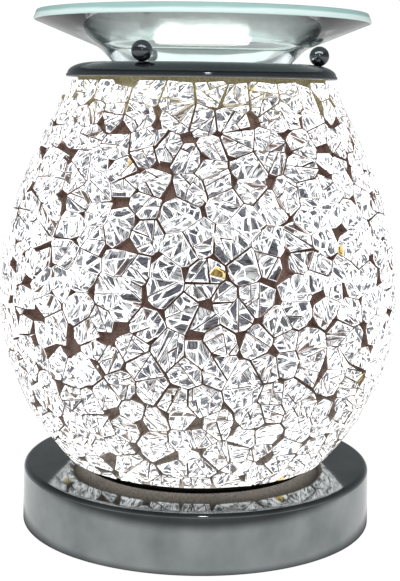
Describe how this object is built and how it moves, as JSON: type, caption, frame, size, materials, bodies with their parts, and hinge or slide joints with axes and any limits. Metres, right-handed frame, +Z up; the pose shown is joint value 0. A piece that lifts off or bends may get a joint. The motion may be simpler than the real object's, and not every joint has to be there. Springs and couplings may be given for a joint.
{
  "type": "electric wax melt warmer",
  "caption": "Egg-shaped glass mosaic lamp on a low drum base, with a removable slumped glass dish on ball supports that melts wax over its bulb.",
  "frame": {"origin": "on the table, under the middle of the drum base", "axes": "+Z up along the lamp's axis, -Y towards the viewer of the picture, cord inlet at +Y"},
  "size_m": [0.1427, 0.1429, 0.1829],
  "materials": {
    "black_nickel": "polished black nickel plate on pressed steel",
    "dark_steel": "black powder coat on sheet steel",
    "zinc_steel": "bright zinc plate",
    "brass": "turned brass",
    "rubber": "matt black moulded rubber",
    "module_plastic": "matt black moulded plastic",
    "terminal_nylon": "natural nylon",
    "wire_jacket": "smooth heat-resistant wire sleeve",
    "silicone": "cured silicone bead",
    "porcelain": "white glazed porcelain",
    "reflector_mirror": "dichroic mirror coat on pressed glass",
    "lens_glass": "clear pressed glass",
    "shade_glass": "clear blown glass",
    "mosaic_glass": "clear broken mirror-backed glass chips, lit from inside",
    "grout": "dark grey-brown tile grout",
    "dish_glass": "clear slumped float glass with a pale green polished edge"
  },
  "bodies": {
    "base": {"base_housing": "black_nickel", "base_plate": "dark_steel", "base_standoffs": "zinc_steel", "plate_screws": "zinc_steel", "rubber_feet": "rubber", "cord_grommet": "rubber", "touch_module": "module_plastic", "terminal_block": "terminal_nylon", "terminal_screws": "brass", "supply_leads": "wire_jacket", "sensor_lead": "wire_jacket", "stem_tube": "zinc_steel", "stem_washer": "zinc_steel", "stem_nut": "brass", "clamp_nut": "brass", "bracket_nuts": "brass", "shade_gasket": "rubber", "clamp_gasket": "rubber", "clamp_plate": "zinc_steel", "shade_glass": "shade_glass", "mosaic_grout": "grout", "mosaic_chips": "mosaic_glass", "top_ring": "black_nickel", "ring_bead": "silicone", "dish_supports": "black_nickel", "support_nuts": "zinc_steel", "holder_bracket": "zinc_steel", "lamp_holder": "porcelain", "holder_screws": "zinc_steel", "holder_contacts": "brass", "lamp_leads": "wire_jacket"},
    "bulb": {"bulb_base": "porcelain", "bulb_pins": "zinc_steel", "bulb_reflector": "reflector_mirror", "bulb_lens": "lens_glass", "bulb_capsule": "lens_glass"},
    "dish": {"dish": "dish_glass"}
  },
  "joints": [
    {"name": "dish_lift", "type": "slide", "parent": "base", "child": "dish", "axis": [0, 0, 1], "range_m": [0, 0.06]},
    {"name": "bulb_turn", "type": "hinge", "parent": "base", "child": "bulb", "pos_m": [0, 0, 0.0853], "axis": [0, 0, 1], "range_deg": [0, 40]}
  ]
}
